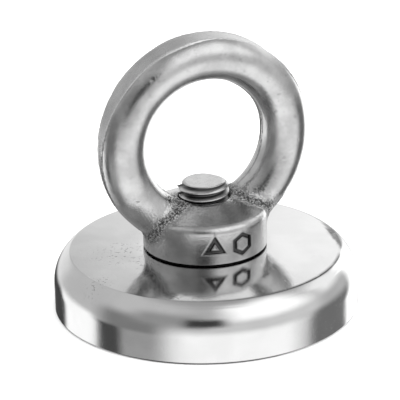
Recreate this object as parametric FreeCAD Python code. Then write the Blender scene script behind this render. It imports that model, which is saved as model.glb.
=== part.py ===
"""Recovery magnet on an eye nut: a steel pot with a ring magnet potted in its open face, held to a
forged eye nut by one countersunk screw. Millimetres, +Z up. The origin is the centre of the open
face, which is also the lowest face. The eye stands in the XZ plane."""

import FreeCAD, Part
import math
import os

Vector = FreeCAD.Vector
UP = Vector(0, 0, 1)
CENTRE = Vector(0, 0, 0)
TINY = 0.01
FLANK_SLOPE = math.tan(math.radians(30))

# Pot: a turned steel cup, open downwards
POT_DIAMETER = 48.0
POT_HEIGHT = 10.0
POT_WALL = 3.0
POT_FLOOR = 5.0
SHOULDER_RADIUS = 6.0
CREASE_INSET = 2.6              # where the rounded shoulder meets the top face, in from the wall
SEAT_MARGIN = 0.45              # flat centre of the top face, past the eye nut's base all round
CROWN_DROP = 0.6                # how far the top face falls from the seat to the crease
RIM_CHAMFER = 0.3
POT_INNER_FILLET = 0.4

# Magnet and the resin around it
POTTING_GAP = 1.5               # between the magnet and the wall
HEAD_ROOM = 1.0                 # between the screw's head and the magnet's bore
MAGNET_RECESS = 0.35            # the magnet's face sits this far inside the rim
MAGNET_EDGE = 0.35
BOND_THICKNESS = 0.15
POTTING_RECESS = 0.45           # resin surface below the magnet's face

# Screw: M8 x 16 countersunk, hexagon socket
THREAD_DIAMETER = 8.0
THREAD_PITCH = 1.25
SCREW_LENGTH = 16.0
HEAD_DIAMETER = 16.0
HEAD_LAND = 0.4                 # short cylindrical rim of the head
SOCKET_ACROSS_FLATS = 5.0
SOCKET_DEPTH = 2.8
SCREW_TIP_CHAMFER = 0.65
THREAD_RELIEF = 1.2             # plain neck between head cone and thread
SEAT_CLEARANCE = 0.05
HOLE_CLEARANCE = 0.5            # added to the thread's diameter for the hole in the pot
THREAD_CLEARANCE = 0.05         # radial, between the screw's crests and the nut's bore
GROOVE_START_ANGLE = 180        # degrees, away from the seam of the turned blank
GROOVE_OVERRUN = 0.08           # how far the groove's mouth stands outside the crests

# Eye nut: forged, threaded right through
BOSS_DIAMETER = 19.5
BOSS_WALL_HEIGHT = 6.1
BOSS_CHAMFER = 0.3
BOSS_EDGE_RADIUS = 0.7
THREAD_HEIGHT = 8.3
MOUTH_CHAMFER = 0.45            # at both ends of the nut's bore
EYE_RADIUS = 13.7               # centre line of the ring's section
EYE_SINK = 0.78                 # the bottom of the eye's hole, below the nut's top
SECTION_RADIUS = 3.72
OUTER_LAND_WIDTH = 3.8          # flat left where the forging flash was trimmed
INNER_LAND_WIDTH = 1.4

# Assembly mark stamped into the boss: a triangle and a hexagon, outlines only
MARK_DEPTH = 0.3
MARK_RADIUS = 1.85
MARK_STROKE = 0.55
MARK_SPACING = 4.6


def polygon(points):
    return Part.Face(Part.makePolygon([*points, points[0]]))


def turned(points):
    """Solid of revolution about Z from (radius, height) points."""
    face = polygon([Vector(radius, 0, height) for radius, height in points])
    return face.revolve(CENTRE, UP, 360)


def tube(outer_radius, inner_radius, bottom, height):
    base = Vector(0, 0, bottom)
    outer = Part.makeCylinder(outer_radius, height, base)
    return outer.cut(Part.makeCylinder(inner_radius, height, base))


def edges_at(solid, radius, height):
    """Circular edges of this radius at this height."""
    return [
        edge for edge in solid.Edges
        if isinstance(edge.Curve, Part.Circle)
        and abs(edge.Curve.Radius - radius) < TINY
        and abs(edge.Curve.Center.z - height) < TINY
    ]


def helical_groove(bottom, height, floor_radius, floor_width, mouth_radius):
    """Helical solid of 60 degree V section, whose flat floor and open mouth are at these radii."""
    mouth_width = floor_width + 2 * abs(mouth_radius - floor_radius) * FLANK_SLOPE
    helix = Part.makeHelix(THREAD_PITCH, height, min(floor_radius, mouth_radius))
    helix.translate(Vector(0, 0, bottom))
    section = Part.makePolygon([
        Vector(floor_radius, 0, bottom - floor_width / 2),
        Vector(mouth_radius, 0, bottom - mouth_width / 2),
        Vector(mouth_radius, 0, bottom + mouth_width / 2),
        Vector(floor_radius, 0, bottom + floor_width / 2),
        Vector(floor_radius, 0, bottom - floor_width / 2),
    ])
    groove = Part.Wire(helix).makePipeShell([section], True, True)
    groove.rotate(CENTRE, UP, GROOVE_START_ANGLE)
    return groove


# Heights that several pieces share
floor_face = POT_HEIGHT - POT_FLOOR
magnet_bottom = MAGNET_RECESS
magnet_top = floor_face - BOND_THICKNESS
head_face = floor_face - HEAD_LAND
pot_radius = POT_DIAMETER / 2
pot_bore_radius = pot_radius - POT_WALL
magnet_radius = pot_bore_radius - POTTING_GAP
magnet_bore_radius = HEAD_DIAMETER / 2 + HEAD_ROOM
boss_radius = BOSS_DIAMETER / 2
boss_wall_top = POT_HEIGHT + BOSS_WALL_HEIGHT

# The nut is bored to the root of its thread, and the screw's crests run in that bore
nut_bore_radius = THREAD_DIAMETER / 2
screw_crest_radius = nut_bore_radius - THREAD_CLEARANCE
screw_thread_depth = 0.6134 * THREAD_PITCH


def steel_cup():
    crease_radius = pot_radius - CREASE_INSET
    crease_height = POT_HEIGHT - CROWN_DROP
    arc_centre = pot_radius - SHOULDER_RADIUS
    rise = math.sqrt(SHOULDER_RADIUS ** 2 - (crease_radius - arc_centre) ** 2)
    arc_height = crease_height - rise
    middle = 0.5 * math.atan2(rise, crease_radius - arc_centre)
    wall_top = Vector(pot_radius, 0, arc_height)
    arc_point = Vector(arc_centre + SHOULDER_RADIUS * math.cos(middle), 0,
                       arc_height + SHOULDER_RADIUS * math.sin(middle))
    crease = Vector(crease_radius, 0, crease_height)
    seat_edge = Vector(boss_radius + SEAT_MARGIN, 0, POT_HEIGHT)
    sag = CROWN_DROP / 4
    crown_point = (crease + seat_edge) * 0.5 + Vector(0, 0, sag)
    outline = [
        Part.makePolygon([
            seat_edge, Vector(0, 0, POT_HEIGHT), CENTRE,
            Vector(pot_radius - RIM_CHAMFER, 0, 0), Vector(pot_radius, 0, RIM_CHAMFER), wall_top,
        ]),
        Part.Arc(wall_top, arc_point, crease).toShape(),
        Part.Arc(crease, crown_point, seat_edge).toShape(),
    ]
    edges = [edge for piece in outline for edge in piece.Edges]
    blank = Part.Face(Part.Wire(Part.__sortEdges__(edges))).revolve(CENTRE, UP, 360)
    cavity = Part.makeCylinder(pot_bore_radius, floor_face)
    cavity = cavity.makeFillet(POT_INNER_FILLET, edges_at(cavity, pot_bore_radius, floor_face))
    hole_radius = (THREAD_DIAMETER + HOLE_CLEARANCE) / 2
    cone_wide = HEAD_DIAMETER / 2 + SEAT_CLEARANCE
    cone = Part.makeCone(cone_wide, hole_radius, cone_wide - hole_radius, Vector(0, 0, floor_face))
    cup = blank.cut(cavity).cut(cone)
    return cup.cut(Part.makeCylinder(hole_radius, POT_HEIGHT + TINY))


def ring_magnet():
    ring = tube(magnet_radius, magnet_bore_radius, magnet_bottom, magnet_top - magnet_bottom)
    corners = [
        edge
        for radius in (magnet_radius, magnet_bore_radius)
        for edge in edges_at(ring, radius, magnet_bottom)
    ]
    return ring.makeFillet(MAGNET_EDGE, corners)


def magnet_bond():
    return tube(magnet_radius, magnet_bore_radius, magnet_top, BOND_THICKNESS)


def potting_ring():
    bottom = magnet_bottom + POTTING_RECESS
    ring = tube(pot_bore_radius, magnet_radius, bottom, floor_face - bottom)
    return ring.makeFillet(POT_INNER_FILLET, edges_at(ring, pot_bore_radius, floor_face))


def countersunk_screw():
    crest = screw_crest_radius
    head_radius = HEAD_DIAMETER / 2
    cone_top = floor_face + head_radius - crest
    tip = head_face + SCREW_LENGTH
    blank = turned([
        (0, head_face),
        (head_radius, head_face),
        (head_radius, floor_face),
        (crest, cone_top),
        (crest, tip - SCREW_TIP_CHAMFER),
        (crest - SCREW_TIP_CHAMFER, tip),
        (0, tip),
    ])
    socket_radius = SOCKET_ACROSS_FLATS / math.sqrt(3)
    corners = [
        Vector(socket_radius * math.cos(turn), socket_radius * math.sin(turn), head_face)
        for turn in (math.radians(60 * k) for k in range(6))
    ]
    socket = polygon(corners).extrude(UP * SOCKET_DEPTH)
    drill_point = Part.makeCone(SOCKET_ACROSS_FLATS / 2, 0, SOCKET_ACROSS_FLATS / 4,
                                Vector(0, 0, head_face + SOCKET_DEPTH))
    lead_in = Part.makeCone(socket_radius + 0.1, SOCKET_ACROSS_FLATS / 2 - 0.1, 0.5,
                            Vector(0, 0, head_face))
    blank = blank.cut(socket.fuse([drill_point, lead_in]))
    thread_start = cone_top + THREAD_RELIEF
    groove_mouth = THREAD_PITCH * 7 / 8
    groove_floor = groove_mouth - 2 * screw_thread_depth * FLANK_SLOPE
    groove = helical_groove(thread_start, tip - thread_start + THREAD_PITCH,
                            crest - screw_thread_depth, groove_floor, crest + GROOVE_OVERRUN)
    return blank.cut(groove)


def stamped_mark():
    """Prism of the mark, reaching from outside the boss to its stamped depth."""
    centre_height = POT_HEIGHT + BOSS_WALL_HEIGHT / 2
    front = -boss_radius - 1
    shapes = []
    for sides, offset in ((3, -MARK_SPACING / 2), (6, MARK_SPACING / 2)):
        outlines = []
        for radius in (MARK_RADIUS, MARK_RADIUS - MARK_STROKE / math.cos(math.pi / sides)):
            outlines.append(polygon([
                Vector(offset + radius * math.sin(turn), front, centre_height + radius * math.cos(turn))
                for turn in (2 * math.pi * k / sides for k in range(sides))
            ]))
        reach = Vector(0, boss_radius, 0)
        shapes.append(outlines[0].extrude(reach).cut(outlines[1].extrude(reach)))
    skin = tube(boss_radius + 1, boss_radius - MARK_DEPTH, POT_HEIGHT, BOSS_WALL_HEIGHT)
    return shapes[0].fuse(shapes[1]).common(skin)


def eye_nut():
    mouth_radius = nut_bore_radius + MOUTH_CHAMFER
    top = POT_HEIGHT + THREAD_HEIGHT
    boss = turned([
        (0, POT_HEIGHT),
        (boss_radius - BOSS_CHAMFER, POT_HEIGHT),
        (boss_radius, POT_HEIGHT + BOSS_CHAMFER),
        (boss_radius, boss_wall_top),
        (mouth_radius, top),
        (0, top),
    ])
    boss = boss.makeFillet(BOSS_EDGE_RADIUS, edges_at(boss, boss_radius, boss_wall_top))
    eye_centre = Vector(0, 0, top - EYE_SINK + EYE_RADIUS - SECTION_RADIUS)
    across = Vector(0, 1, 0)
    ring = Part.makeTorus(EYE_RADIUS, SECTION_RADIUS, eye_centre, across)
    reach = 2 * SECTION_RADIUS
    start = eye_centre - across * SECTION_RADIUS
    outer_land = math.sqrt(SECTION_RADIUS ** 2 - (OUTER_LAND_WIDTH / 2) ** 2)
    inner_land = math.sqrt(SECTION_RADIUS ** 2 - (INNER_LAND_WIDTH / 2) ** 2)
    ring = ring.common(Part.makeCylinder(EYE_RADIUS + outer_land, reach, start, across))
    ring = ring.cut(Part.makeCylinder(EYE_RADIUS - inner_land, reach, start, across))
    below_base = Part.makeCylinder(EYE_RADIUS + reach, POT_HEIGHT)
    nut = boss.fuse(ring.cut(below_base)).cut(stamped_mark())
    bore = turned([
        (0, POT_HEIGHT),
        (mouth_radius, POT_HEIGHT),
        (nut_bore_radius, POT_HEIGHT + MOUTH_CHAMFER),
        (nut_bore_radius, top - MOUTH_CHAMFER),
        (mouth_radius, top),
        (mouth_radius, eye_centre.z),
        (0, eye_centre.z),
    ])
    return nut.cut(bore)


def main():
    os.makedirs("parts", exist_ok=True)
    for build in (steel_cup, ring_magnet, magnet_bond, potting_ring, countersunk_screw, eye_nut):
        solid = build()
        solid.exportStep(f"parts/{build.__name__}.step")
        print(build.__name__, solid.isValid(), len(solid.Solids), round(solid.Volume, 2))


main()
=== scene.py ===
"""Looks of the recovery magnet: a nickel-plated pot, a forged eye nut and the screw that joins them.
Lengths in the building functions are millimetres in the object's own frame; meshes are in metres."""

import math

import bpy
import numpy as np
from mathutils import Matrix, Vector


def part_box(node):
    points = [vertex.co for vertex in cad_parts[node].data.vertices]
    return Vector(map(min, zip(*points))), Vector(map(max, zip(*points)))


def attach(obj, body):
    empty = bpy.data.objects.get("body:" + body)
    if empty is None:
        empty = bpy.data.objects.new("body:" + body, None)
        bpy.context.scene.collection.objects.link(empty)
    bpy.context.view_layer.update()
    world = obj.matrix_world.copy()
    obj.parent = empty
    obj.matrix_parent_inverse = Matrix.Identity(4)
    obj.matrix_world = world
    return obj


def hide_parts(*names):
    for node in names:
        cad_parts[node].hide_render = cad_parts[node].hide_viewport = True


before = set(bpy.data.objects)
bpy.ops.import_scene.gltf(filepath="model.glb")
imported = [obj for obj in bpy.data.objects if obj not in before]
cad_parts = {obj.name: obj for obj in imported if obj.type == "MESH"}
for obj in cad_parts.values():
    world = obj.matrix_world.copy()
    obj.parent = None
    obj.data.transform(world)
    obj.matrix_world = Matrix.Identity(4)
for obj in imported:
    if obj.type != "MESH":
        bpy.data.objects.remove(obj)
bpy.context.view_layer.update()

MM = 0.001
TURN = 2 * math.pi


def node_size(node):
    """Outer radius across X, lowest and highest height of a node, in millimetres."""
    low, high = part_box(node)
    return high[0] / MM, low[2] / MM, high[2] / MM


POT_RADIUS, POT_RIM, POT_TOP = node_size("steel_cup")
EYE_OUTSIDE, NUT_BASE, EYE_TOP = node_size("eye_nut")
HEAD_RADIUS, HEAD_FACE, SCREW_TIP = node_size("countersunk_screw")
MAGNET_RADIUS, MAGNET_FACE, MAGNET_BACK = node_size("ring_magnet")
POTTING_RADIUS, POTTING_FACE, POTTING_BACK = node_size("potting_ring")
BOSS_RADIUS = -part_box("eye_nut")[0][1] / MM


# ---------------------------------------------------------------- meshes

def add_piece(name, points, faces, body, node):
    """A smooth-shaded piece from millimetre points. It rides on a body and stands for a node."""
    mesh = bpy.data.meshes.new(name)
    mesh.from_pydata((np.asarray(points, float) * MM).tolist(), [], [list(face) for face in faces])
    mesh.validate()
    mesh.update()
    mesh.shade_smooth()
    piece = bpy.data.objects.new(name, mesh)
    bpy.context.scene.collection.objects.link(piece)
    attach(piece, body)
    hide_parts(node)
    return piece


def arc(centre, radius, start, end, steps):
    """Points of an arc in the (radius, height) plane, angles in degrees."""
    turns = np.radians(np.linspace(start, end, steps))
    return [(centre[0] + radius * math.cos(t), centre[1] + radius * math.sin(t)) for t in turns]


def subdivided(outline, longest):
    """The same outline with no step longer than this."""
    points = [outline[0]]
    for a, b in zip(outline, outline[1:]):
        count = max(1, math.ceil(math.dist(a, b) / longest))
        points += [(a[0] + (b[0] - a[0]) * k / count, a[1] + (b[1] - a[1]) * k / count)
                   for k in range(1, count + 1)]
    return points


def turned_mesh(outline, segments):
    """Points and faces of a closed outline of (radius, height) turned about Z."""
    radii = np.array([p[0] for p in outline])
    heights = np.array([p[1] for p in outline])
    angles = np.arange(segments) * TURN / segments
    points = np.stack([
        np.outer(radii, np.cos(angles)),
        np.outer(radii, np.sin(angles)),
        np.outer(heights, np.ones(segments)),
    ], axis=-1).reshape(-1, 3)
    rows = len(outline)
    faces = []
    for row in range(rows):
        below, above = row * segments, (row + 1) % rows * segments
        for k in range(segments):
            nxt = (k + 1) % segments
            faces.append((below + k, below + nxt, above + nxt, above + k))
    return points, faces


def smooth_min(a, b, width):
    """The smaller of two distances, with the corner between them rounded over this width."""
    overlap = np.maximum(width - np.abs(a - b), 0) / width
    return np.minimum(a, b) - overlap * overlap * width / 4


def smooth_max(a, b, width):
    return -smooth_min(-a, -b, width)


PULLS_TO_SURFACE = 3
LEAST_SLOPE_SQUARED = 0.2       # keeps a pull short where the distance is nearly level


def surface_mesh(distance, xs, ys, zs):
    """Quad mesh of the surface where distance(x, y, z) is nought, by surface nets on a grid."""
    gx, gy, gz = np.meshgrid(xs, ys, zs, indexing="ij", sparse=True)
    field = distance(gx, gy, gz).astype(np.float32)
    inside = field < 0
    count = np.zeros([n - 1 for n in field.shape], np.int8)
    corners = [(i, j, k) for i in (0, 1) for j in (0, 1) for k in (0, 1)]
    for i, j, k in corners:
        count += inside[i:i + count.shape[0], j:j + count.shape[1], k:k + count.shape[2]]
    cells = np.argwhere((count > 0) & (count < 8))
    number = np.full(count.shape, -1, np.int32)
    number[tuple(cells.T)] = np.arange(len(cells))
    axes = (np.asarray(xs), np.asarray(ys), np.asarray(zs))
    total = np.zeros((len(cells), 3))
    hits = np.zeros(len(cells))
    for a in corners:
        for axis in range(3):
            if a[axis]:
                continue
            b = tuple(v + (n == axis) for n, v in enumerate(a))
            ia, ib = cells + a, cells + b
            fa, fb = field[tuple(ia.T)], field[tuple(ib.T)]
            crossed = (fa < 0) != (fb < 0)
            share = np.where(crossed, fa / np.where(crossed, fa - fb, 1), 0)
            for n in range(3):
                start, end = axes[n][ia[:, n]], axes[n][ib[:, n]]
                total[:, n] += np.where(crossed, start + share * (end - start), 0)
            hits += crossed
    points = total / hits[:, None]
    for _ in range(PULLS_TO_SURFACE):
        value, slope = distance(*points.T), gradient(distance, points)
        steepness = np.maximum((slope ** 2).sum(1), LEAST_SLOPE_SQUARED)
        points -= (value / steepness)[:, None] * slope
    faces = []
    for axis in range(3):
        u, v = (axis + 1) % 3, (axis + 2) % 3
        low = [slice(None)] * 3
        high = [slice(None)] * 3
        low[axis], high[axis] = slice(0, -1), slice(1, None)
        first, second = inside[tuple(low)], inside[tuple(high)]
        crossed = np.argwhere(first != second)
        flip = second[tuple(crossed.T)]
        quad = []
        for du, dv in ((-1, -1), (0, -1), (0, 0), (-1, 0)):
            at = crossed.copy()
            at[:, u] += du
            at[:, v] += dv
            quad.append(number[tuple(at.T)])
        quad = np.stack(quad, 1)
        quad[flip] = quad[flip][:, ::-1]
        faces.append(quad)
    return points, np.concatenate(faces)


def gradient(distance, points, step=0.02):
    slope = np.empty_like(points)
    for n in range(3):
        offset = np.zeros(3)
        offset[n] = step
        slope[:, n] = (distance(*(points + offset).T) - distance(*(points - offset).T)) / (2 * step)
    return slope


def set_normals(piece, normals):
    piece.data.normals_split_custom_set_from_vertices(normals.tolist())


def set_mask(piece, name, values):
    """A value per vertex that the materials can read."""
    layer = piece.data.attributes.new(name, "FLOAT", "POINT")
    layer.data.foreach_set("value", np.asarray(values, np.float32))


# ---------------------------------------------------------------- eye nut

SECTION = 3.72                  # radius of the ring's section
OUTER_LAND_HALF = 1.9           # the trimmed band round the outside
INNER_LAND_HALF = 0.7
SIDE_FULLNESS = 3.60            # outward half of the section at the ring's sides
SIDE_STANDS_OUT = 0.32          # how much further out the band lies there
SIDES_FROM = math.radians(48)   # angle from the top up to which the section is full
SIDES_BLEND = math.radians(42)
OUTER_LAND = math.sqrt(SECTION ** 2 - OUTER_LAND_HALF ** 2)
INNER_LAND = math.sqrt(SECTION ** 2 - INNER_LAND_HALF ** 2)
EYE_RADIUS = EYE_OUTSIDE - OUTER_LAND
EYE_CENTRE = EYE_TOP - EYE_OUTSIDE
EYE_SINK = 0.78                 # the bottom of the eye's hole, below the nut's top
NUT_TOP = EYE_CENTRE - EYE_RADIUS + SECTION + EYE_SINK
BOSS_EDGE = NUT_BASE + 6.1      # where the boss's wall turns into its shoulder
NUT_BORE = 4.0
MOUTH = 0.45                    # chamfer of the bore's lower mouth; the shoulder ends as far from the bore
TOP_MOUTH = 0.2
SEAT_GAP = 0.26                 # relief under the boss's edge
SEAT_STEP = 0.55                # how far in it reaches
LAND_ROUND = 0.12               # rounding where the band is cut
INNER_LAND_ROUND = 0.2
BEAD_RADIUS = 0.14              # the band's raised edges, and the flash line inside the ring
BEAD_BLEND = 0.1
FLASH_BLEND = 0.16
SHOULDER_ROUND = 0.9
NUT_TOP_ROUND = 0.3
NUT_BASE_ROUND = 0.12
UNDERCUT_ROUND = 0.14
RING_FILLET = 1.5               # between the ring and the boss
BORE_OVERRUN = 2                # the bore goes on past the nut's top, into the ring
ROUGHCAST = 0.07                # height of the lumps in the corners
# strength of the painted shade in the bore
BORE_SHADE = 0.27
RIDGE_WIDTH = 0.22              # the polished edge of the trimmed band
MARK_DEPTH = 0.3
MARK_HEIGHT = NUT_BASE + 3.05
MARK_RADIUS = 1.85
MARK_STROKE = 0.5
MARK_LIP = 0.05                 # metal pushed up round the stamp
MARK_SPACING = 4.6
MARKS = ((3, -MARK_SPACING / 2), (6, MARK_SPACING / 2))     # number of sides, place across the boss
BEHIND_MARKS = -6               # nothing behind this is stamped
GRID = 0.228                    # steps of the grid that the surface is found on
FINE_GRID = 0.13                # and round the stamped marks
# Small dents from tumbling: angle round the eye from the top, angle round the section from the
# front towards the outside, radius of the dent, depth
DENTS = ((58, -8, 0.5, 0.10), (-38, 30, 1.4, 0.03), (-120, 12, 0.7, 0.05), (20, 160, 0.8, 0.07),
         (150, 200, 0.6, 0.08), (-75, 170, 0.7, 0.06), (95, 15, 0.5, 0.05))


def fullness_at(around):
    """Outward half of the section: a full round over the top, flatter towards the sides."""
    turn = np.clip((np.abs(around) - SIDES_FROM) / SIDES_BLEND, 0, 1)
    return SECTION - (SECTION - SIDE_FULLNESS) * turn * turn * (3 - 2 * turn)


def land_at(fullness):
    """How far out the trimmed band lies: the sides stand a little proud of the top."""
    return OUTER_LAND + SIDE_STANDS_OUT * (SECTION - fullness) / (SECTION - SIDE_FULLNESS)


def land_half(fullness):
    """Half width of the trimmed band where the section has this fullness."""
    return SECTION * np.sqrt(1 - (land_at(fullness) / fullness) ** 2)


def eye_ring(x, y, z):
    """Distance to the ring: a round section, trimmed outside and inside, a little uneven."""
    height = z - EYE_CENTRE
    rho = np.sqrt(x * x + height * height)
    around = np.arctan2(x, height)
    u = rho - EYE_RADIUS
    fullness = fullness_at(around)
    outward = np.where(u > 0, u * SECTION / fullness, u)
    land = land_at(fullness)
    swell = 0.025 * np.sin(3 * around + 0.7) + 0.02 * np.sin(7 * around + 2.1) * np.cos(y * 0.9)
    ring = np.sqrt(outward * outward + y * y) - SECTION - swell
    ring = smooth_max(ring, u - land, LAND_ROUND)
    ring = smooth_max(ring, -u - INNER_LAND, INNER_LAND_ROUND)
    wander = 0.06 * np.sin(5 * around) + 0.04 * np.sin(11 * around + 1)
    edge = np.sqrt((u - land + 0.06) ** 2 + (np.abs(y) - land_half(fullness) + wander) ** 2)
    ring = smooth_min(ring, edge - BEAD_RADIUS, BEAD_BLEND)
    flash = np.sqrt((u + INNER_LAND) ** 2 + (y - wander) ** 2) - BEAD_RADIUS
    return smooth_min(ring, flash, FLASH_BLEND)


def boss_body(x, y, z):
    """Distance to the boss: a round wall under a sloping shoulder."""
    q = np.sqrt(x * x + y * y)
    slope = math.atan2(NUT_TOP - BOSS_EDGE, BOSS_RADIUS - NUT_BORE - MOUTH)
    shoulder = (q - BOSS_RADIUS) * math.sin(slope) + (z - BOSS_EDGE) * math.cos(slope)
    body = smooth_max(q - BOSS_RADIUS, shoulder, SHOULDER_ROUND)
    body = smooth_max(body, z - NUT_TOP, NUT_TOP_ROUND)
    around = np.arctan2(y, x)
    return body + 0.02 * np.sin(3 * around + 1.2) * np.sin((z - NUT_BASE) * 0.8)


def mark_outline(x, z, sides, offset):
    """Distance to the outline of a regular polygon that stands on the boss."""
    apothem = MARK_RADIUS * math.cos(math.pi / sides)
    reach = -1e9
    for k in range(sides):
        turn = (2 * k + 1) * math.pi / sides
        reach = np.maximum(reach, (x - offset) * math.sin(turn) + (z - MARK_HEIGHT) * math.cos(turn))
    return np.abs(reach - apothem + MARK_STROKE / 2) - MARK_STROKE / 2


def crevice_at(ring, boss):
    """1 in the corner between ring and boss, fading away from it."""
    return np.exp(-(np.maximum(ring, 0) + np.maximum(boss, 0)) * 0.5 - np.abs(ring - boss) * 0.42)


def roughcast(x, y, z):
    """Lumps left by the forging die where the tumbling media doesn't reach."""
    first = np.sin(7.1 * x + 2.3 * np.sin(3.9 * z)) * np.sin(6.3 * y + 1.7 * np.sin(5.2 * x))
    second = np.sin(11.7 * z + 2.9 * np.sin(4.3 * y)) * np.sin(10.9 * x + 2.1 * np.sin(6.1 * z))
    return first + 0.8 * second


def nut_distance(x, y, z):
    """Distance to the whole eye nut's surface, less than nought inside the steel."""
    q = np.sqrt(x * x + y * y)
    ring, boss = eye_ring(x, y, z), boss_body(x, y, z)
    nut = smooth_min(ring, boss, RING_FILLET)
    nut = nut - ROUGHCAST * crevice_at(ring, boss) * roughcast(x, y, z)
    nut = smooth_max(nut, NUT_BASE - z, NUT_BASE_ROUND)
    undercut = smooth_max(z - NUT_BASE - SEAT_GAP, BOSS_RADIUS - SEAT_STEP - q, 0.1)
    nut = smooth_max(nut, -undercut, UNDERCUT_ROUND)
    bore = np.maximum(q - NUT_BORE, z - NUT_TOP - BORE_OVERRUN)
    for rise, width in ((NUT_TOP - z, TOP_MOUTH), (z - NUT_BASE, MOUTH)):
        mouth = (q - NUT_BORE - width + rise) * math.sqrt(0.5)
        bore = smooth_min(bore, np.maximum(mouth, -1 - rise), 0.1)
    nut = smooth_max(nut, -bore, 0.1)
    for sides, offset in MARKS:
        outline = mark_outline(x, z, sides, offset)
        nut = nut - np.where(y < 0, MARK_LIP * np.exp(-((outline - 0.15) / 0.13) ** 2), 0)
        groove = smooth_max(outline, BOSS_RADIUS - MARK_DEPTH - q, 0.1)
        groove = np.maximum(groove, y)
        nut = smooth_max(nut, -groove, 0.08)
    for around, section, radius, depth in DENTS:
        a, s = math.radians(around), math.radians(section)
        out = EYE_RADIUS + (SECTION + radius - depth) * math.sin(s)
        cx, cz = out * math.sin(a), EYE_CENTRE + out * math.cos(a)
        cy = -(SECTION + radius - depth) * math.cos(s)
        dent = np.sqrt((x - cx) ** 2 + (y - cy) ** 2 + (z - cz) ** 2) - radius
        nut = smooth_max(nut, -dent, 0.08)
    return nut


def graded(low, high, step, fine_low, fine_high, fine_step):
    """Grid lines with this step, closer together between the fine limits."""
    parts = (np.arange(low, fine_low, step), np.arange(fine_low, fine_high, fine_step),
             np.arange(fine_high, high + step, step))
    return np.concatenate(parts)


def make_eye_nut():
    margin = 0.5
    fine_behind = -8.5
    mark_half = MARK_SPACING / 2 + MARK_RADIUS + 0.2
    xs = graded(-EYE_OUTSIDE - margin, EYE_OUTSIDE + margin, GRID, -mark_half, mark_half, FINE_GRID)
    ys = graded(-BOSS_RADIUS - margin, BOSS_RADIUS + margin, GRID,
                -BOSS_RADIUS - 0.1, fine_behind, FINE_GRID)
    zs = graded(NUT_BASE - margin, EYE_TOP + margin, GRID, NUT_BASE - 0.2,
                MARK_HEIGHT + MARK_RADIUS + 0.2, FINE_GRID)
    points, faces = surface_mesh(nut_distance, xs, ys, zs)
    normals = gradient(nut_distance, points)
    normals /= np.linalg.norm(normals, axis=1)[:, None]
    piece = add_piece("forged_eye_nut", points, faces, "eye", "eye_nut")
    set_normals(piece, normals)
    ring, boss = eye_ring(*points.T), boss_body(*points.T)
    set_mask(piece, "crevice", crevice_at(ring, boss))
    radius = np.hypot(points[:, 0], points[:, 1])
    # Painted shade: near-black in the relief under the boss's edge and, weaker, in the bore.
    under = np.clip(1 - (points[:, 2] - NUT_BASE) / (SEAT_GAP + 0.1), 0, 1)
    under = under * (radius > BOSS_RADIUS - SEAT_STEP - 0.1)
    in_bore = np.clip(1.5 - (radius - NUT_BORE) / 0.2, 0, 1) * (points[:, 2] < NUT_TOP + 1)
    set_mask(piece, "gap_shade", np.maximum(under, BORE_SHADE * in_bore))
    # Painted shade in the grooves of the stamped marks, on the front only.
    stamped = np.minimum(*(mark_outline(points[:, 0], points[:, 2], sides, offset)
                           for sides, offset in MARKS))
    set_mask(piece, "stamp", np.exp(-np.maximum(stamped, 0) * 7) * (points[:, 1] < BEHIND_MARKS))
    x, y, height = points[:, 0], np.abs(points[:, 1]), points[:, 2] - EYE_CENTRE
    fullness = fullness_at(np.arctan2(x, height))
    below_band = land_at(fullness) - (np.hypot(x, height) - EYE_RADIUS)
    on_band = np.clip((land_half(fullness) - y) / 0.3, 0, 1)
    set_mask(piece, "land", np.clip((0.35 - below_band) / 0.3, 0, 1) * on_band)
    from_edge = below_band ** 2 + (land_half(fullness) - y) ** 2
    set_mask(piece, "ridge", np.exp(-from_edge / RIDGE_WIDTH ** 2))
    return piece


# ---------------------------------------------------------------- pot, magnet, resin

CREASE_INSET = 2.6              # from the pot's side to where the top turns into the shoulder
CROWN_DROP = 0.6                # how far the top falls from its middle to the crease
CROWN_STEPS = 30
CROWN_RISE = 0.004              # the crown's middle stands this far above the seat
SHOULDER = 6.0
SEAT_RADIUS = BOSS_RADIUS + 0.45
POT_FLOOR = 5.0
POT_WALL = 3.0
POT_BORE = POT_RADIUS - POT_WALL
POT_HOLE = 4.25
POT_SEGMENTS = 288
MAGNET_SEGMENTS = 192
RIM_CHAMFER = 0.3
FLOOR_FILLET = 0.4
FILLET_START = 18               # degrees, past the wall's last point, so that no point is doubled
# Painted shade along the top's crease: a near-black line standing for the crease's shade.
SHARP_SHADE_HEADING = math.radians(-42)     # where the painted shade along the crease is darkest and sharpest
WIDE_SHADE_HEADING = math.radians(-10)    # where that painted shade spreads widest, in place of a shallow dent
WIDE_SHADE_WIDTH = 1.05
SHADE_BREAK_HEADING = math.radians(-30)  # and where that painted shade breaks off
PITTED_EVERYWHERE = 0.03
# Places with more pits: x, y, reach
PITTED_SPOTS = ((-13.6, 2.5, 4.5), (-11.0, -3.5, 2.5), (-20.4, -6.1, 2.0),
                (14.0, 13.0, 2.5), (3.0, 18.0, 3.0))


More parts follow.
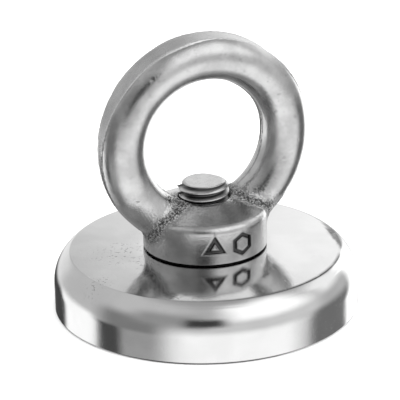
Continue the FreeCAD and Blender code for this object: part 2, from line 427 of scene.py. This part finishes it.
def pot_outline():
    """Outline of the cup from the screw hole over the top, down the wall and back inside."""
    crease = (POT_RADIUS - CREASE_INSET, POT_TOP - CROWN_DROP)
    centre_radius = POT_RADIUS - SHOULDER
    tilt = math.acos((crease[0] - centre_radius) / SHOULDER)
    centre = (centre_radius, crease[1] - SHOULDER * math.sin(tilt))
    crown = []
    for k in range(CROWN_STEPS):
        share = k / (CROWN_STEPS - 1)
        radius = SEAT_RADIUS + (crease[0] - 0.1 - SEAT_RADIUS) * share
        crown.append((radius, POT_TOP - CROWN_DROP * share ** 1.5 + CROWN_RISE))
    floor = POT_FLOOR
    cone_end = (POT_HOLE, floor + HEAD_RADIUS - POT_HOLE + 0.05)
    return [
        *subdivided([(POT_HOLE, POT_TOP - 0.2), (POT_HOLE + 0.2, POT_TOP)], 0.1),
        *subdivided([(POT_HOLE + 0.3, POT_TOP), (SEAT_RADIUS - 0.2, POT_TOP)], 1.0),
        *crown,
        (crease[0] - 0.05, crease[1]),
        *arc(centre, SHOULDER, math.degrees(tilt) - 0.6, 0, 40),
        *subdivided([(POT_RADIUS, centre[1] - 0.2), (POT_RADIUS, RIM_CHAMFER + 0.1)], 0.5),
        *arc((POT_RADIUS - 0.1, RIM_CHAMFER + 0.02), 0.1, 0, -40, 4),
        *arc((POT_RADIUS - RIM_CHAMFER, 0.08), 0.08, -50, -90, 4),
        *arc((POT_BORE + 0.15, 0.15), 0.15, 270, 180, 5),
        *subdivided([(POT_BORE, 0.3), (POT_BORE, floor - FLOOR_FILLET)], 1.0),
        *arc((POT_BORE - FLOOR_FILLET, floor - FLOOR_FILLET), FLOOR_FILLET, FILLET_START, 90, 5),
        *subdivided([(POT_BORE - 0.6, floor), (HEAD_RADIUS + 0.05, floor)], 2.0),
        *subdivided([(HEAD_RADIUS + 0.03, floor + 0.02), cone_end], 1.0),
    ]


def make_pot():
    """The cup, with a slight ripple in its top, a mask for its pits and masks for the painted shade along its
    crease and on its bottom rim.
    """
    points, faces = turned_mesh(pot_outline(), POT_SEGMENTS)
    faces = [face[::-1] for face in faces]
    radius = np.hypot(points[:, 0], points[:, 1])
    around = np.arctan2(points[:, 1], points[:, 0])
    top = np.clip((radius - SEAT_RADIUS) / 4, 0, 1) * (points[:, 2] > POT_TOP - 1.5)
    ripple = 0.012 * np.sin(3 * around + 0.4) + 0.006 * np.sin(7 * around + radius * 0.5)
    points[:, 2] += np.where(points[:, 2] < POT_TOP - 0.001, top * (ripple - 0.02), 0)
    piece = add_piece("nickel_pot", points, faces, "pot", "steel_cup")
    crease = POT_RADIUS - CREASE_INSET
    # Painted shade: a near-black line along the crease, widest at one heading and broken at another.
    sharp = (0.5 + 0.5 * np.cos(around - SHARP_SHADE_HEADING)) ** 3
    sharp = sharp * (1 - np.exp(-((around - SHADE_BREAK_HEADING) / 0.07) ** 2))
    wide_shade = np.exp(-((around - WIDE_SHADE_HEADING) / 0.21) ** 2)
    inside = np.minimum(radius - crease + WIDE_SHADE_WIDTH * wide_shade, 0) / 0.16
    outside = np.maximum(radius - crease - 0.4 * WIDE_SHADE_WIDTH * wide_shade, 0) / 0.14
    crease_shade = np.exp(-inside ** 2 - outside ** 2) * (points[:, 2] > POT_TOP - 1.5)
    set_mask(piece, "crease_shade", crease_shade * np.maximum(sharp, wide_shade))
    # Painted shade on the bottom rim's chamfer, where the cup meets the floor.
    on_rim = (points[:, 2] < RIM_CHAMFER + 0.06) & (radius > POT_BORE + 1)
    set_mask(piece, "rim_shade", on_rim)
    pitted = PITTED_EVERYWHERE
    for x, y, reach in PITTED_SPOTS:
        away = np.hypot(points[:, 0] - x, points[:, 1] - y) / reach
        pitted = np.maximum(pitted, np.clip(1.3 - away, 0, 1))
    set_mask(piece, "pitted", pitted)
    return piece


def make_magnet():
    edge = 0.35
    bore = HEAD_RADIUS + 1.0
    outline = [
        *arc((bore + edge, MAGNET_FACE + edge), edge, 180, 270, 6),
        *subdivided([(bore + edge + 0.1, MAGNET_FACE), (MAGNET_RADIUS - edge - 0.1, MAGNET_FACE)], 1.0),
        *arc((MAGNET_RADIUS - edge, MAGNET_FACE + edge), edge, 270, 360, 6),
        *subdivided([(MAGNET_RADIUS, MAGNET_FACE + 0.5), (MAGNET_RADIUS, MAGNET_BACK)], 1.0),
        *subdivided([(MAGNET_RADIUS - 0.1, MAGNET_BACK), (bore + 0.1, MAGNET_BACK)], 2.0),
        *subdivided([(bore, MAGNET_BACK), (bore, MAGNET_FACE + edge + 0.1)], 1.0),
    ]
    points, faces = turned_mesh(outline, MAGNET_SEGMENTS)
    return add_piece("plated_ring_magnet", points, faces, "pot", "ring_magnet")


RESIN_STEPS = 15
RESIN_CREEP = 0.28              # how far the resin creeps up the walls
BUBBLES = ((0.6, 0.35), (2.3, 0.25), (2.5, 0.18), (4.4, 0.4), (5.3, 0.22))      # heading, radius


def make_potting():
    """Cured resin: it creeps up both walls and has a few shallow burst bubbles."""
    width = POTTING_RADIUS - MAGNET_RADIUS
    outline = []
    for k in range(RESIN_STEPS):
        share = k / (RESIN_STEPS - 1)
        creep = RESIN_CREEP * (2 * share - 1) ** 4
        outline.append((MAGNET_RADIUS + width * share, POTTING_FACE - creep))
    below_fillet = (POTTING_RADIUS, POTTING_BACK - FLOOR_FILLET)
    fillet_centre = (POTTING_RADIUS - FLOOR_FILLET, POTTING_BACK - FLOOR_FILLET)
    outline += subdivided([(POTTING_RADIUS, POTTING_FACE + 0.3), below_fillet], 1.0)
    outline += arc(fillet_centre, FLOOR_FILLET, FILLET_START, 90, 5)
    outline += subdivided([(POTTING_RADIUS - 0.5, POTTING_BACK), (MAGNET_RADIUS, POTTING_BACK)], 0.5)
    outline += subdivided([(MAGNET_RADIUS, POTTING_BACK - 0.3), (MAGNET_RADIUS, POTTING_FACE + 0.2)], 1.0)
    points, faces = turned_mesh(outline, POT_SEGMENTS)
    around = np.arctan2(points[:, 1], points[:, 0])
    radius = np.hypot(points[:, 0], points[:, 1])
    surface = points[:, 2] < POTTING_FACE + 0.05
    sag = 0.05 * np.sin(2 * around + 1) + 0.03 * np.sin(9 * around)
    for angle, size in BUBBLES:
        middle = (MAGNET_RADIUS + POTTING_RADIUS) / 2
        away = np.hypot((around % TURN - angle) * middle, radius - middle)
        sag = sag + 0.3 * np.clip(1 - (away / size) ** 2, 0, 1)
    inner = np.clip((radius - MAGNET_RADIUS) * (POTTING_RADIUS - radius) * 4, 0, 1)
    points[:, 2] += np.where(surface, sag * inner, 0)
    return add_piece("resin_potting", points, faces, "pot", "potting_ring")


# ---------------------------------------------------------------- screw

PITCH = 1.25
THREAD_GAP = 0.05               # between the screw's crests and the nut's plain bore
CREST = NUT_BORE - THREAD_GAP
THREAD_DEPTH = 0.6134 * PITCH   # of an ISO metric external thread
CONE_TOP = POT_FLOOR + HEAD_RADIUS - CREST
THREAD_START = CONE_TOP + 1.2
TIP_CHAMFER = 0.65
SOCKET_RADIUS = 5.0 / math.sqrt(3)
SOCKET_DEPTH = 2.8
SCREW_SEGMENTS = 180
THREAD_ROWS_STEP = 0.04
# Torn crests: heading in radians, distance below the tip, height above the crest
BURRS = ((2.76, 0.75, 0.32), (2.82, 1.85, 0.28), (-0.15, 1.0, 0.12))
BURR_WIDTH = 0.075              # radians
BURR_LENGTH = 0.2
SAWN_HEADING = 0.53             # the saw ran out of the end here and left a wider bevel
SAWN_BEVEL = 0.3


def groove_depth(angle, height):
    """Depth of the helical groove. It starts at the -X side."""
    phase = (height - THREAD_START) / PITCH - (angle - math.pi) / TURN
    from_groove = np.abs(phase - np.round(phase)) * PITCH
    half_mouth = PITCH * 7 / 16
    depth = np.clip((half_mouth - from_groove) / math.tan(math.radians(30)), 0, THREAD_DEPTH)
    return depth * np.clip((height - THREAD_START + 0.2) / 0.8, 0, 1)


def bevel_at(angle):
    """Width of the bevel at the screw's end."""
    away = (angle - SAWN_HEADING + math.pi) % TURN - math.pi
    return TIP_CHAMFER + SAWN_BEVEL * np.exp(-(away / 0.5) ** 2)


def near_burr(burr, angle, height):
    """1 at the middle of a burr, fading away from it."""
    heading, below, _ = burr
    away = (angle - heading + math.pi) % TURN - math.pi
    fall = ((SCREW_TIP - height - below) / BURR_LENGTH) ** 2
    return np.exp(-(away / BURR_WIDTH) ** 2 - fall)


def thread_radius(angle, height):
    """Radius of the threaded part, with its end bevel and burrs."""
    radius = CREST - groove_depth(angle, height)
    radius = np.minimum(radius, CREST - bevel_at(angle) + (SCREW_TIP - height))
    for burr in BURRS:
        radius = radius + (CREST + burr[2] - radius) * near_burr(burr, angle, height)
    return radius


def make_screw():
    """The screw as rows of points, from the bottom of its socket round the head to its tip."""
    segments = SCREW_SEGMENTS
    angles = np.arange(segments) * TURN / segments
    rows = []

    def add_row(radii, heights):
        rows.append(np.stack([radii * np.cos(angles), radii * np.sin(angles),
                              np.broadcast_to(heights, (segments,))], -1))

    def add_ring(radius, height):
        add_row(np.full(segments, radius), height)

    hexagon = SOCKET_RADIUS * math.cos(math.pi / 6) / np.cos(
        (angles % (math.pi / 3)) - math.pi / 6)
    floor = HEAD_FACE + SOCKET_DEPTH
    add_row(0.02 * np.ones(segments), floor + 1.2)
    add_row(0.5 * hexagon, floor + 0.55)
    add_row(0.96 * hexagon, floor)
    for height in np.linspace(floor - 0.05, HEAD_FACE + 0.4, 8):
        add_row(hexagon, height)
    add_row(hexagon * 0.97 + 0.14, HEAD_FACE + 0.12)
    add_row(0.5 * hexagon + 0.5 * (SOCKET_RADIUS + 0.25), HEAD_FACE)
    for radius in np.linspace(SOCKET_RADIUS + 0.5, HEAD_RADIUS - 0.12, 14):
        add_ring(radius, HEAD_FACE)
    for radius, height in arc((HEAD_RADIUS - 0.1, HEAD_FACE + 0.1), 0.1, 270, 360, 4):
        add_ring(radius, height)
    add_ring(HEAD_RADIUS, POT_FLOOR)
    for share in np.linspace(0.05, 1, 10):
        add_ring(HEAD_RADIUS + (CREST - HEAD_RADIUS) * share, POT_FLOOR + (CONE_TOP - POT_FLOOR) * share)
    for height in np.arange(CONE_TOP + 0.1, SCREW_TIP - 0.02, THREAD_ROWS_STEP):
        add_row(thread_radius(angles, height), height)
    add_row(CREST - bevel_at(angles) - 0.03, SCREW_TIP)
    for radius in np.linspace(CREST - TIP_CHAMFER - SAWN_BEVEL - 0.2, 0.02, 12):
        add_ring(radius, SCREW_TIP - 0.03 * (1 - radius / CREST))
    points = np.concatenate(rows)
    faces = []
    for row in range(len(rows) - 1):
        for k in range(segments):
            nxt = (k + 1) % segments
            faces.append((row * segments + k, row * segments + nxt,
                          (row + 1) * segments + nxt, (row + 1) * segments + k))
    faces.append(tuple(range(segments))[::-1])
    faces.append(tuple((len(rows) - 1) * segments + k for k in range(segments)))
    piece = add_piece("threaded_screw", points, faces, "screw", "countersunk_screw")
    around = np.arctan2(points[:, 1], points[:, 0])
    threaded = (points[:, 2] > THREAD_START) & (points[:, 2] < SCREW_TIP - 0.03)
    # Painted shade in the thread's grooves and beside the burrs.
    burr_shade = sum(near_burr(burr, around + BURR_WIDTH, points[:, 2] + BURR_LENGTH) for burr in BURRS)
    set_mask(piece, "valley_shade", (groove_depth(around, points[:, 2]) / THREAD_DEPTH + burr_shade) * threaded)
    return piece


# ---------------------------------------------------------------- materials

class Wire:
    """One value in a node tree, used in ordinary arithmetic."""

    def __init__(self, board, socket):
        self.board, self.socket = board, socket

    def maths(self, operation, *others):
        return self.board.add("Math", {"operation": operation}, self, *others)

    def __add__(self, other):
        return self.maths("ADD", other)

    def __sub__(self, other):
        return self.maths("SUBTRACT", other)

    def __rsub__(self, other):
        return self.board.add("Math", {"operation": "SUBTRACT"}, other, self)

    def __mul__(self, other):
        return self.maths("MULTIPLY", other)

    __radd__ = __add__
    __rmul__ = __mul__

    def between(self, low, high):
        """0 below low, 1 above high, smooth in between."""
        settings = {"interpolation_type": "SMOOTHSTEP"}
        return self.board.add("MapRange", settings, self, low, high, 0.0, 1.0)


class Board:
    """A node tree with one method that adds any node."""

    def __init__(self, tree):
        self.tree = tree
        tree.nodes.clear()

    def add(self, kind, settings=None, *values, output=0, **named):
        node = self.tree.nodes.new("ShaderNode" + kind)
        for key, value in (settings or {}).items():
            setattr(node, key, value)
        sockets = [s for s in node.inputs if s.enabled]
        for key, value in [*zip(sockets, values), *((node.inputs[k], v) for k, v in named.items())]:
            if isinstance(value, Wire):
                self.tree.links.new(value.socket, key)
            else:
                key.default_value = value
        outputs = [s for s in node.outputs if s.enabled]
        return Wire(self, outputs[output]) if outputs else None

    def place(self, scale=1.0):
        """Object coordinates in millimetres, times scale."""
        here = self.add("TexCoord", output=3)
        return self.add("VectorMath", {"operation": "SCALE"}, here, **{"Scale": scale / MM})

    def noise(self, where, size, detail=3.0, roughness=0.5):
        """Value noise around 0.5 whose lumps are about this many millimetres across."""
        named = {"Scale": 1 / size, "Detail": detail, "Roughness": roughness}
        return self.add("TexNoise", None, where, **named)

    def attribute(self, name):
        return self.add("Attribute", {"attribute_name": name}, output=2)

    def blend(self, share, a, b):
        settings = {"data_type": "RGBA"}
        return self.add("Mix", settings, share, a, b)

    def bump(self, height, strength, distance=1.0, under=None):
        named = {"Strength": strength, "Distance": distance * MM, "Height": height}
        if under is not None:
            named["Normal"] = under
        return self.add("Bump", None, **named)

    def surface(self, **values):
        shader = self.add("BsdfPrincipled", None, **values)
        self.add("OutputMaterial", None, shader)


def grey(value, warmth=0.0):
    return (value * (1 + warmth), value, value * (1 - warmth), 1.0)


def new_material(name):
    material = bpy.data.materials.new(name)
    material.use_nodes = True
    return material, Board(material.node_tree)


def bright_nickel():
    material, board = new_material("bright_nickel_plate")
    here = board.place()
    tone = board.noise(here, size=6.0, detail=2.0)
    fine = board.noise(here, size=0.30, detail=4.0, roughness=0.65)
    pits = board.noise(here, size=0.42, detail=1.0).between(0.62, 0.70) * board.attribute("pitted")
    crease_shade = board.attribute("crease_shade") * board.noise(here, size=1.6, detail=3.0, roughness=0.6).between(0.15, 0.5)
    colour = board.blend(tone.between(0.3, 0.7), grey(0.52), grey(0.56))
    colour = board.blend(pits * 0.6, colour, grey(0.18))
    # Painted shade: near-black along the top's crease.
    colour = board.blend(crease_shade * 0.96, colour, grey(0.04))
    # Painted shade: darker on the bottom rim's chamfer.
    colour = board.blend(board.attribute("rim_shade") * 0.4, colour, grey(0.10))
    rough = 0.075 + 0.05 * tone + 0.05 * fine.between(0.45, 0.8) + 0.2 * crease_shade
    waves = board.bump(board.noise(here, size=3.2, detail=1.0), strength=0.35, distance=0.05)
    peel = board.bump(fine, strength=0.16, distance=0.02, under=waves)
    drawn = board.add("VectorMath", {"operation": "MULTIPLY"}, here, (1.6, 0.16, 1.0))
    scratches = board.noise(drawn, size=0.35, detail=2.0, roughness=0.6).between(0.66, 0.72)
    handled = board.noise(here, size=9.0, detail=1.0).between(0.5, 0.65)
    scratched = board.bump(1 - scratches * handled, strength=0.25, distance=0.03, under=peel)
    normal = board.bump(1 - pits, strength=0.7, distance=0.08, under=scratched)
    board.surface(**{"Base Color": colour, "Metallic": 1.0, "Roughness": rough, "Normal": normal})
    return material


def forged_steel():
    material, board = new_material("tumbled_forged_steel")
    here = board.place()
    crevice = board.attribute("crevice").between(0.20, 0.66)
    stamp = board.attribute("stamp")
    land = board.attribute("land")
    ridge = board.attribute("ridge")
    gap_shade = board.attribute("gap_shade")
    cloud = board.noise(here, size=3.0, detail=3.0)
    grain = board.noise(here, size=0.17, detail=3.0, roughness=0.65)
    lumps = board.noise(here, size=0.8, detail=2.0, roughness=0.5)
    scale_left = board.noise(here, size=0.36, detail=2.0, roughness=0.6)
    burnt = board.noise(here, size=1.4, detail=4.0, roughness=0.65).between(0.60, 0.74)
    colour = board.blend(cloud.between(0.3, 0.7), grey(0.36), grey(0.46))
    colour = board.blend(burnt * 0.30, colour, grey(0.09))
    colour = board.blend(land * 0.35, colour, grey(0.22))
    colour = board.blend(ridge * 0.8, colour, grey(0.62))
    colour = board.blend(crevice * scale_left.between(0.45, 0.54) * 0.9, colour, grey(0.07))
    # Painted shade: near-black in the stamped grooves.
    colour = board.blend(stamp * 0.9, colour, grey(0.03))
    # Painted shade: near-black in the relief under the boss and in the bore.
    colour = board.blend(gap_shade.between(0.0, 0.4), colour, grey(0.015))
    rough = 0.09 + 0.08 * cloud + 0.10 * grain.between(0.42, 0.7) + 0.12 * crevice + 0.10 * land
    bumps = board.bump(lumps, strength=0.13, distance=0.10)
    bumps = board.bump(grain, strength=0.42, distance=0.045, under=bumps)
    bumps = board.bump(scale_left * crevice, strength=1.0, distance=0.50, under=bumps)
    board.surface(**{"Base Color": colour, "Metallic": 1.0, "Roughness": rough, "Normal": bumps})
    return material


def machined_steel():
    material, board = new_material("machined_screw_steel")
    here = board.place()
    cloud = board.noise(here, size=1.5, detail=3.0)
    flat = board.add("VectorMath", {"operation": "MULTIPLY"}, here, (1.0, 1.0, 0.0))
    radius = board.add("VectorMath", {"operation": "LENGTH"}, flat)
    rings = board.add("Math", {"operation": "SINE"}, radius * 45.0)
    fine = board.noise(here, size=0.12, detail=3.0, roughness=0.6)
    valley_shade = board.attribute("valley_shade")
    colour = board.blend(cloud.between(0.3, 0.7), grey(0.43), grey(0.52))
    # Painted shade: near-black in the thread's grooves and beside the burrs.
    colour = board.blend(valley_shade.between(0.15, 0.8) * 0.88, colour, grey(0.045))
    rough = 0.16 + 0.14 * cloud + 0.1 * fine + 0.15 * valley_shade
    bumps = board.bump(rings, strength=0.08, distance=0.02)
    bumps = board.bump(fine, strength=0.30, distance=0.03, under=bumps)
    board.surface(**{"Base Color": colour, "Metallic": 1.0, "Roughness": rough, "Normal": bumps})
    return material


def magnet_plate():
    material, board = new_material("sintered_magnet_plate")
    here = board.place()
    tone = board.noise(here, size=5.0, detail=3.0)
    peel = board.noise(here, size=0.4, detail=3.0, roughness=0.6)
    colour = board.blend(tone.between(0.3, 0.7), grey(0.43, 0.02), grey(0.50, 0.02))
    normal = board.bump(peel, strength=0.3, distance=0.04)
    rough = 0.16 + 0.14 * tone
    board.surface(**{"Base Color": colour, "Metallic": 1.0, "Roughness": rough, "Normal": normal})
    return material


def black_resin():
    material, board = new_material("black_potting_resin")
    here = board.place()
    dust = board.noise(here, size=0.3, detail=3.0, roughness=0.6).between(0.62, 0.75)
    swirl = board.noise(here, size=2.5, detail=3.0)
    colour = board.blend(swirl.between(0.3, 0.7), grey(0.02), grey(0.045))
    colour = board.blend(dust * 0.5, colour, grey(0.16))
    normal = board.bump(board.noise(here, size=0.8, detail=2.0), strength=0.3, distance=0.1)
    board.surface(**{"Base Color": colour, "Roughness": 0.3 + 0.25 * swirl, "Normal": normal,
                     "Coat Weight": 0.3})
    return material


def amber_bond():
    material, board = new_material("amber_bond_film")
    here = board.place()
    swirl = board.noise(here, size=1.2, detail=3.0)
    colour = board.blend(swirl, (0.42, 0.33, 0.16, 1), (0.62, 0.54, 0.34, 1))
    normal = board.bump(board.noise(here, size=0.5, detail=2.0), strength=0.3, distance=0.05)
    board.surface(**{"Base Color": colour, "Roughness": 0.3 + 0.2 * swirl, "Normal": normal})
    return material


def dress(piece, material):
    piece.data.materials.clear()
    piece.data.materials.append(material)


# ---------------------------------------------------------------- studio

def make_floor():
    size = 4.0
    mesh = bpy.data.meshes.new("studio_floor")
    corners = [(x * size, y * size, POT_RIM * MM) for x, y in ((-1, -1), (1, -1), (1, 1), (-1, 1))]
    mesh.from_pydata(corners, [], [(0, 1, 2, 3)])
    floor = bpy.data.objects.new("studio_floor", mesh)
    bpy.context.scene.collection.objects.link(floor)
    floor.visible_glossy = False
    material, board = new_material("pale_studio_floor")
    board.surface(**{"Base Color": grey(0.93), "Roughness": 1.0, "Specular IOR Level": 0.0})
    dress(floor, material)


# Soft boxes and flags round the object. Each row is a name, the heading of the middle and the half
# width, the height of the middle and the half height, the softness of the edge, all in degrees, and
# the brightness. Heading 0 is the -Y side and 90 the +X side. A later row covers the ones before it.
SURROUNDINGS = (
    ("left_wall", -112, 62, 25, 62, 20, 0.54),
    ("left_shade", -80, 26, -3, 23, 12, 0.22),
    ("left_underneath", -92, 26, -53, 14, 8, 0.24),
    ("camera_surround", -54, 26, 24, 16, 12, 0.31),
    ("front_floor", 2, 52, -46, 36, 18, 1.10),
    ("main_softbox", 31, 37, 42, 26, 16, 1.22),
    ("overhead", 0, 180, 88, 20, 10, 0.37),
    ("horizon", 24, 44, 3, 10, 9, 0.66),
    ("camera_opening", -24, 15, 18, 11, 7, 0.05),
    ("high_right_light", 95, 16, 30, 14, 8, 1.00),
    ("right_flag", 86, 23, -34, 27, 8, 0.17),
    ("strip_light", 125, 15, -14, 42, 6, 1.45),
    ("upper_right_flag", 126, 16, 47, 15, 6, 0.10),
    ("back_right_glow", 148, 12, 12, 22, 8, 0.97),
    ("back_left_card", -136, 21, -23, 13, 7, 1.10),
    ("back_low", 177, 22, 2, 14, 8, 0.74),
    ("back_left_flag", -174, 16, -24, 11, 4, 0.05),
    ("far_left_flag", -102, 10.5, -28, 10, 5, 0.07),
    ("under_the_back", 157, 70, -72, 22, 8, 0.05),
)
BASE_LIGHT = 0.49               # where there is no card
STUDIO_LEVEL = 1.57             # on the whole mirrored studio


def make_world():
    """A plain pale backdrop to look at, and a studio of soft boxes and flags for the metal to mirror."""
    world = bpy.data.worlds.new("soft_studio")
    bpy.context.scene.world = world
    world.use_nodes = True
    board = Board(world.node_tree)
    way = board.add("TexCoord", output=0)
    x, y, z = (board.add("SeparateXYZ", None, way, output=n) for n in range(3))
    heading = board.add("Math", {"operation": "ARCTAN2"}, x, -1 * y) * (180 / math.pi)
    height = board.add("Math", {"operation": "ARCSINE"}, z) * (180 / math.pi)
    light = BASE_LIGHT
    for _, across, half_width, up, half_height, softness, brightness in SURROUNDINGS:
        sideways = (heading - across).maths("WRAP", 180.0, -180.0).maths("ABSOLUTE")
        upwards = (height - up).maths("ABSOLUTE")
        inside = 1 - sideways.between(half_width - softness, half_width + softness)
        inside = inside * (1 - upwards.between(half_height - softness, half_height + softness))
        light = light + inside * (brightness - light)
    light = light * STUDIO_LEVEL
    seen = board.add("LightPath", output=0)
    light = light + seen * (1.0 - light)
    board.add("OutputWorld", None, board.add("Background", None, **{"Color": grey(1.0), "Strength": light}))


def make_floor_light():
    """A large soft light overhead that evens out the floor."""
    data = bpy.data.lights.new("overhead_softbox", "AREA")
    data.size = 1.6
    data.energy = 16.0
    lamp = bpy.data.objects.new("overhead_softbox", data)
    lamp.location = (0, 0, 1.0)
    lamp.visible_glossy = False
    bpy.context.scene.collection.objects.link(lamp)


AZIMUTH = -22.6                 # camera round the object, degrees
ELEVATION = 21.66
ROLL = -1.09
DISTANCE = 0.45
LENS = 258.4
AIM = Vector((-0.00063, 0.00026, 0.01735))


def make_camera():
    a, e = math.radians(AZIMUTH), math.radians(ELEVATION)
    back = Vector((math.sin(a) * math.cos(e), -math.cos(a) * math.cos(e), math.sin(e)))
    data = bpy.data.cameras.new("product_camera")
    data.lens = LENS
    data.sensor_width = 36
    data.clip_start = 0.01
    data.clip_end = 20
    camera = bpy.data.objects.new("product_camera", data)
    bpy.context.scene.collection.objects.link(camera)
    turn = (-back).to_track_quat("-Z", "Y").to_matrix().to_4x4() @ Matrix.Rotation(math.radians(ROLL), 4, "Z")
    camera.matrix_world = Matrix.Translation(AIM + back * DISTANCE) @ turn
    bpy.context.scene.camera = camera


eye_nut = make_eye_nut()
pot = make_pot()
magnet = make_magnet()
potting = make_potting()
screw = make_screw()
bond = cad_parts["magnet_bond"]
for piece, finish in ((eye_nut, forged_steel), (pot, bright_nickel), (magnet, magnet_plate),
                      (potting, black_resin), (screw, machined_steel)):
    dress(piece, finish())
bond.material_slots[0].material = amber_bond()
make_floor()
make_world()
make_floor_light()
make_camera()
bpy.context.scene.view_settings.view_transform = "Standard"
